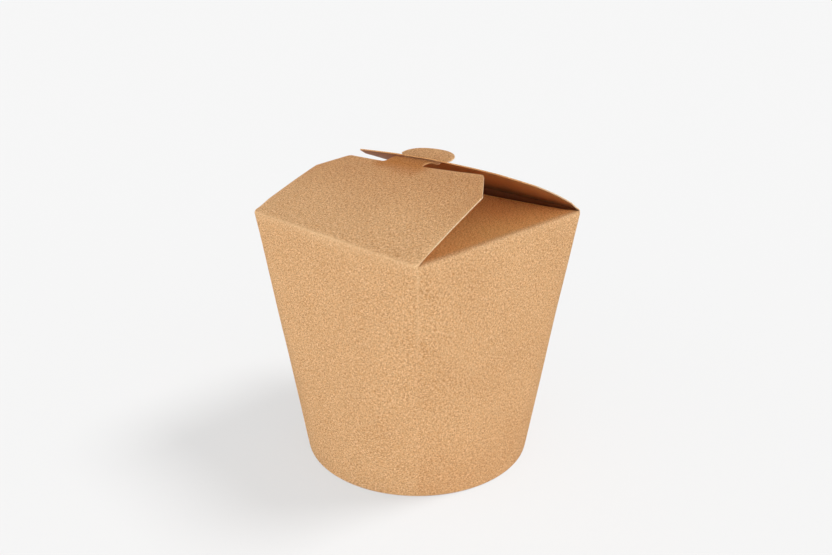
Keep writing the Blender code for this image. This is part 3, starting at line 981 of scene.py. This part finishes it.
def board_finish(material, tones, pale, dark, fibres, relief, rough, worn_and_highlight, gloss=0.5, painted_light_tints=()):
    """Fills a material with kraft board. tones are its darker and lighter kraft colour, pale and dark
    its fibres' colours, rough the range of roughness and the worn colour that of cut edges' wear and
    of the pale fold line, which is partly a painted highlight.
    The last argument pairs each stored mask of painted shade and painted bounce light with what it
    multiplies the colour by."""
    material.use_nodes = True
    tree = material.node_tree
    shader = tree.nodes["Principled BSDF"]
    place = tree.nodes.new("ShaderNodeUVMap")
    place.uv_map = "board"
    place = place.outputs["UV"]
    strands = group_node(tree, board_fibres, place, Amount=fibres)
    clouds = group_node(tree, board_clouds, place)
    colour = mix(tree, clouds.outputs["Tone"], *tones)
    colour = mix(tree, calc(tree, "MULTIPLY", strands.outputs["Pale"], 1.0, True), colour, pale)
    colour = mix(tree, calc(tree, "MULTIPLY", strands.outputs["Dark"], 1.0, True), colour, dark)
    # The pale line is wear along cut edges, and partly a painted highlight along folds.
    rubbed_and_highlight = calc(tree, "MAXIMUM", stored(tree, "fold"),
                  calc(tree, "MULTIPLY", stored(tree, "cut_edge"), 0.7))
    broken = calc(tree, "MULTIPLY", rubbed_and_highlight, ramp(tree, clouds.outputs["Patch"], 0, 1, 0.45, 0.8))
    colour = mix(tree, broken, colour, worn_and_highlight)
    # Lays the painted shade and painted bounce light over the colour.
    for mask, tint in painted_light_tints:
        colour = mix(tree, stored(tree, mask), colour, mix(tree, 1.0, colour, tint, "MULTIPLY"))
    tree.links.new(colour, shader.inputs["Base Color"])
    polish = calc(tree, "ADD", clouds.outputs["Patch"], strands.outputs["Dark"])
    tree.links.new(ramp(tree, polish, 0, 1.6, *rough), shader.inputs["Roughness"])
    shader.inputs["Specular IOR Level"].default_value = gloss
    bump = tree.nodes.new("ShaderNodeBump")
    bump.inputs["Strength"].default_value = relief
    bump.inputs["Distance"].default_value = 0.00006
    height = calc(tree, "ADD", strands.outputs["Relief"], clouds.outputs["Tone"])
    tree.links.new(height, bump.inputs["Height"])
    tree.links.new(bump.outputs["Normal"], shader.inputs["Normal"])
    print(material.name, "has", len(tree.nodes), "nodes")


# %% Fill the materials
# The outside's two tints are painted shade and painted bounce light.
board_finish(kraft_outside, ((0.71, 0.356, 0.138), (0.83, 0.460, 0.206)),
             pale=(1.0, 0.69, 0.39), dark=(0.46, 0.20, 0.072), fibres=1.0, relief=0.6,
             rough=(0.76, 0.92), worn_and_highlight=(0.90, 0.60, 0.33), gloss=0.12,
             painted_light_tints=(("painted_shade", (0.70, 0.46, 0.26)), ("painted_bounce_light", (1.26, 1.10, 0.76))))
# The inside's tint is painted shade.
board_finish(kraft_inside, ((0.60, 0.262, 0.092), (0.68, 0.312, 0.115)),
             pale=(0.76, 0.42, 0.20), dark=(0.40, 0.155, 0.05), fibres=0.35, relief=0.15,
             rough=(0.40, 0.54), worn_and_highlight=(0.70, 0.40, 0.20), gloss=0.35,
             painted_light_tints=(("painted_inside_shade", (0.30, 0.15, 0.08)),))
board_finish(base_board, ((0.62, 0.32, 0.135), (0.71, 0.385, 0.17)),
             pale=(0.86, 0.55, 0.29), dark=(0.40, 0.18, 0.065), fibres=0.75, relief=0.6,
             rough=(0.68, 0.86), worn_and_highlight=(0.80, 0.52, 0.29), gloss=0.22)
# The cut edge's tint is painted shade by the tab.
board_finish(kraft_cut, ((0.72, 0.43, 0.21), (0.84, 0.55, 0.30)),
             pale=(0.94, 0.70, 0.44), dark=(0.52, 0.27, 0.12), fibres=0.9, relief=0.5,
             rough=(0.80, 0.92), worn_and_highlight=(0.92, 0.70, 0.45), gloss=0.2,
             painted_light_tints=(("tan", (0.80, 0.62, 0.44)),))

# %% [markdown]
# ## Floor and light
# The box stands on a wide pale floor in the soft light of a white studio. Its light comes from a
# sky that is bright all round near the horizon and dimmer overhead, like tall white screens, so
# the walls are lit alike and the roof a little less. One wide lamp from the right draws the soft
# shadow on the left. It lights only the floor, because it is there for the shadow alone. The
# floor is darker than it looks, and the camera sees a glow on it that lights nothing, or it would
# throw too much light up onto the walls. Both are studio tricks, and not part of the box.

# %% Floor
PAPER_GLOW = 0.59        # the camera alone sees this, so the floor looks whiter than it shines
PAPER_GREY = 0.20        # what the floor really throws back onto the box
FLOOR_REACH = 40         # far enough that its edge lies beyond the view
floor_mesh = bpy.data.meshes.new("studio_floor")
floor_mesh.from_pydata([(x * FLOOR_REACH, y * FLOOR_REACH, 0)
                        for x, y in ((-1, -1), (1, -1), (1, 1), (-1, 1))], [], [(0, 1, 2, 3)])
paper = bpy.data.materials.new("studio_paper")
paper.use_nodes = True
paper_shader = paper.node_tree.nodes["Principled BSDF"]
paper_shader.inputs["Roughness"].default_value = 0.95
paper_shader.inputs["Specular IOR Level"].default_value = 0.0
paper_shader.inputs["Base Color"].default_value = (PAPER_GREY, PAPER_GREY, PAPER_GREY, 1)
paper_shader.inputs["Emission Color"].default_value = (1, 1, 1, 1)
seen = paper.node_tree.nodes.new("ShaderNodeLightPath").outputs["Is Camera Ray"]
paper.node_tree.links.new(calc(paper.node_tree, "MULTIPLY", seen, PAPER_GLOW),
                          paper_shader.inputs["Emission Strength"])
studio_floor = show("studio_floor", floor_mesh, (paper,))

# %% Sky and lamp
FRONT = Vector((0.72, -0.70, 0)).normalized()    # towards the camera's side
SKY_TOP = 0.25          # how bright the sky is overhead
SKY_LOW = 2.25          # how much brighter it is near the horizon
SKY_REACH = 0.85        # sine of the height at which that has faded
SKY_FRONT = 0.42        # share by which the front is brighter, and the back darker
BACKDROP = 0.93         # what the camera sees of the backdrop, level with the floor

world = bpy.data.worlds.new("studio")
bpy.context.scene.world = world
world.use_nodes = True
sky = world.node_tree
direction = sky.nodes.new("ShaderNodeTexCoord").outputs["Generated"]
facing = sky.nodes.new("ShaderNodeVectorMath")
facing.operation = "DOT_PRODUCT"
facing.inputs[1].default_value = FRONT
sky.links.new(direction, facing.inputs[0])
height = sky.nodes.new("ShaderNodeSeparateXYZ")
sky.links.new(direction, height.inputs[0])
band = ramp(sky, height.outputs["Z"], 0.0, SKY_REACH, SKY_LOW, 0.0)
share = calc(sky, "ADD", calc(sky, "MULTIPLY", facing.outputs["Value"], SKY_FRONT), 1.0)
glow = calc(sky, "ADD", calc(sky, "MULTIPLY", band, share), SKY_TOP)
seen = sky.nodes.new("ShaderNodeLightPath").outputs["Is Camera Ray"]
lit = calc(sky, "MULTIPLY", glow, calc(sky, "SUBTRACT", 1.0, seen))
plain = calc(sky, "MULTIPLY", seen, BACKDROP)
sky.links.new(calc(sky, "ADD", lit, plain), sky.nodes["Background"].inputs["Strength"])
sky.nodes["Background"].inputs["Color"].default_value = (1, 1, 1, 1)

LAMP_WAY = (0.33, 0.42, 0.85)    # from the box towards the lamp
lamp = bpy.data.lights.new("right_lamp", "SUN")
lamp.energy = 3.5
lamp.angle = math.radians(22)    # a wide lamp, so the shadow's edge is soft
right_lamp = bpy.data.objects.new("right_lamp", lamp)
bpy.context.scene.collection.objects.link(right_lamp)
lit_by_lamp = bpy.data.collections.new("lit_by_lamp")
lit_by_lamp.objects.link(studio_floor)
right_lamp.light_linking.receiver_collection = lit_by_lamp
right_lamp.rotation_euler = Vector(LAMP_WAY).to_track_quat("Z", "Y").to_euler()
bpy.context.scene.view_settings.view_transform = "Standard"
print("sky overhead", SKY_TOP, "and at the horizon", SKY_TOP + SKY_LOW)

# %% [markdown]
# ## Camera
# The camera looks at the corner between the front and the right wall, so both show alike, from
# about 21 degrees above. Its distance and height follow the box's own width.

# %% Camera
WIDTH = 2 * HALF
CAMERA_TURN = math.radians(44.96)
CAMERA_RISE = math.radians(20.96)
CAMERA_AWAY = 3.4735 * WIDTH
AIM_HEIGHT = 0.7705 * WIDTH      # the point it looks at: this high,
AIM_SIDE = -0.0061 * WIDTH       # and this far to the right, so a little to the left

look_at = Vector((math.cos(CAMERA_TURN), math.sin(CAMERA_TURN), 0)) * AIM_SIDE
look_at.z = AIM_HEIGHT
away = Vector((math.sin(CAMERA_TURN) * math.cos(CAMERA_RISE),
               -math.cos(CAMERA_TURN) * math.cos(CAMERA_RISE), math.sin(CAMERA_RISE)))
camera = bpy.data.objects.new("camera", bpy.data.cameras.new("camera"))
bpy.context.scene.collection.objects.link(camera)
camera.data.sensor_width = 36
camera.data.lens = 34.6
camera.data.clip_start = 0.01
camera.location = look_at + away * CAMERA_AWAY
camera.rotation_euler = away.to_track_quat("Z", "Y").to_euler()
bpy.context.scene.camera = camera
print("camera at", [round(v, 4) for v in camera.location])
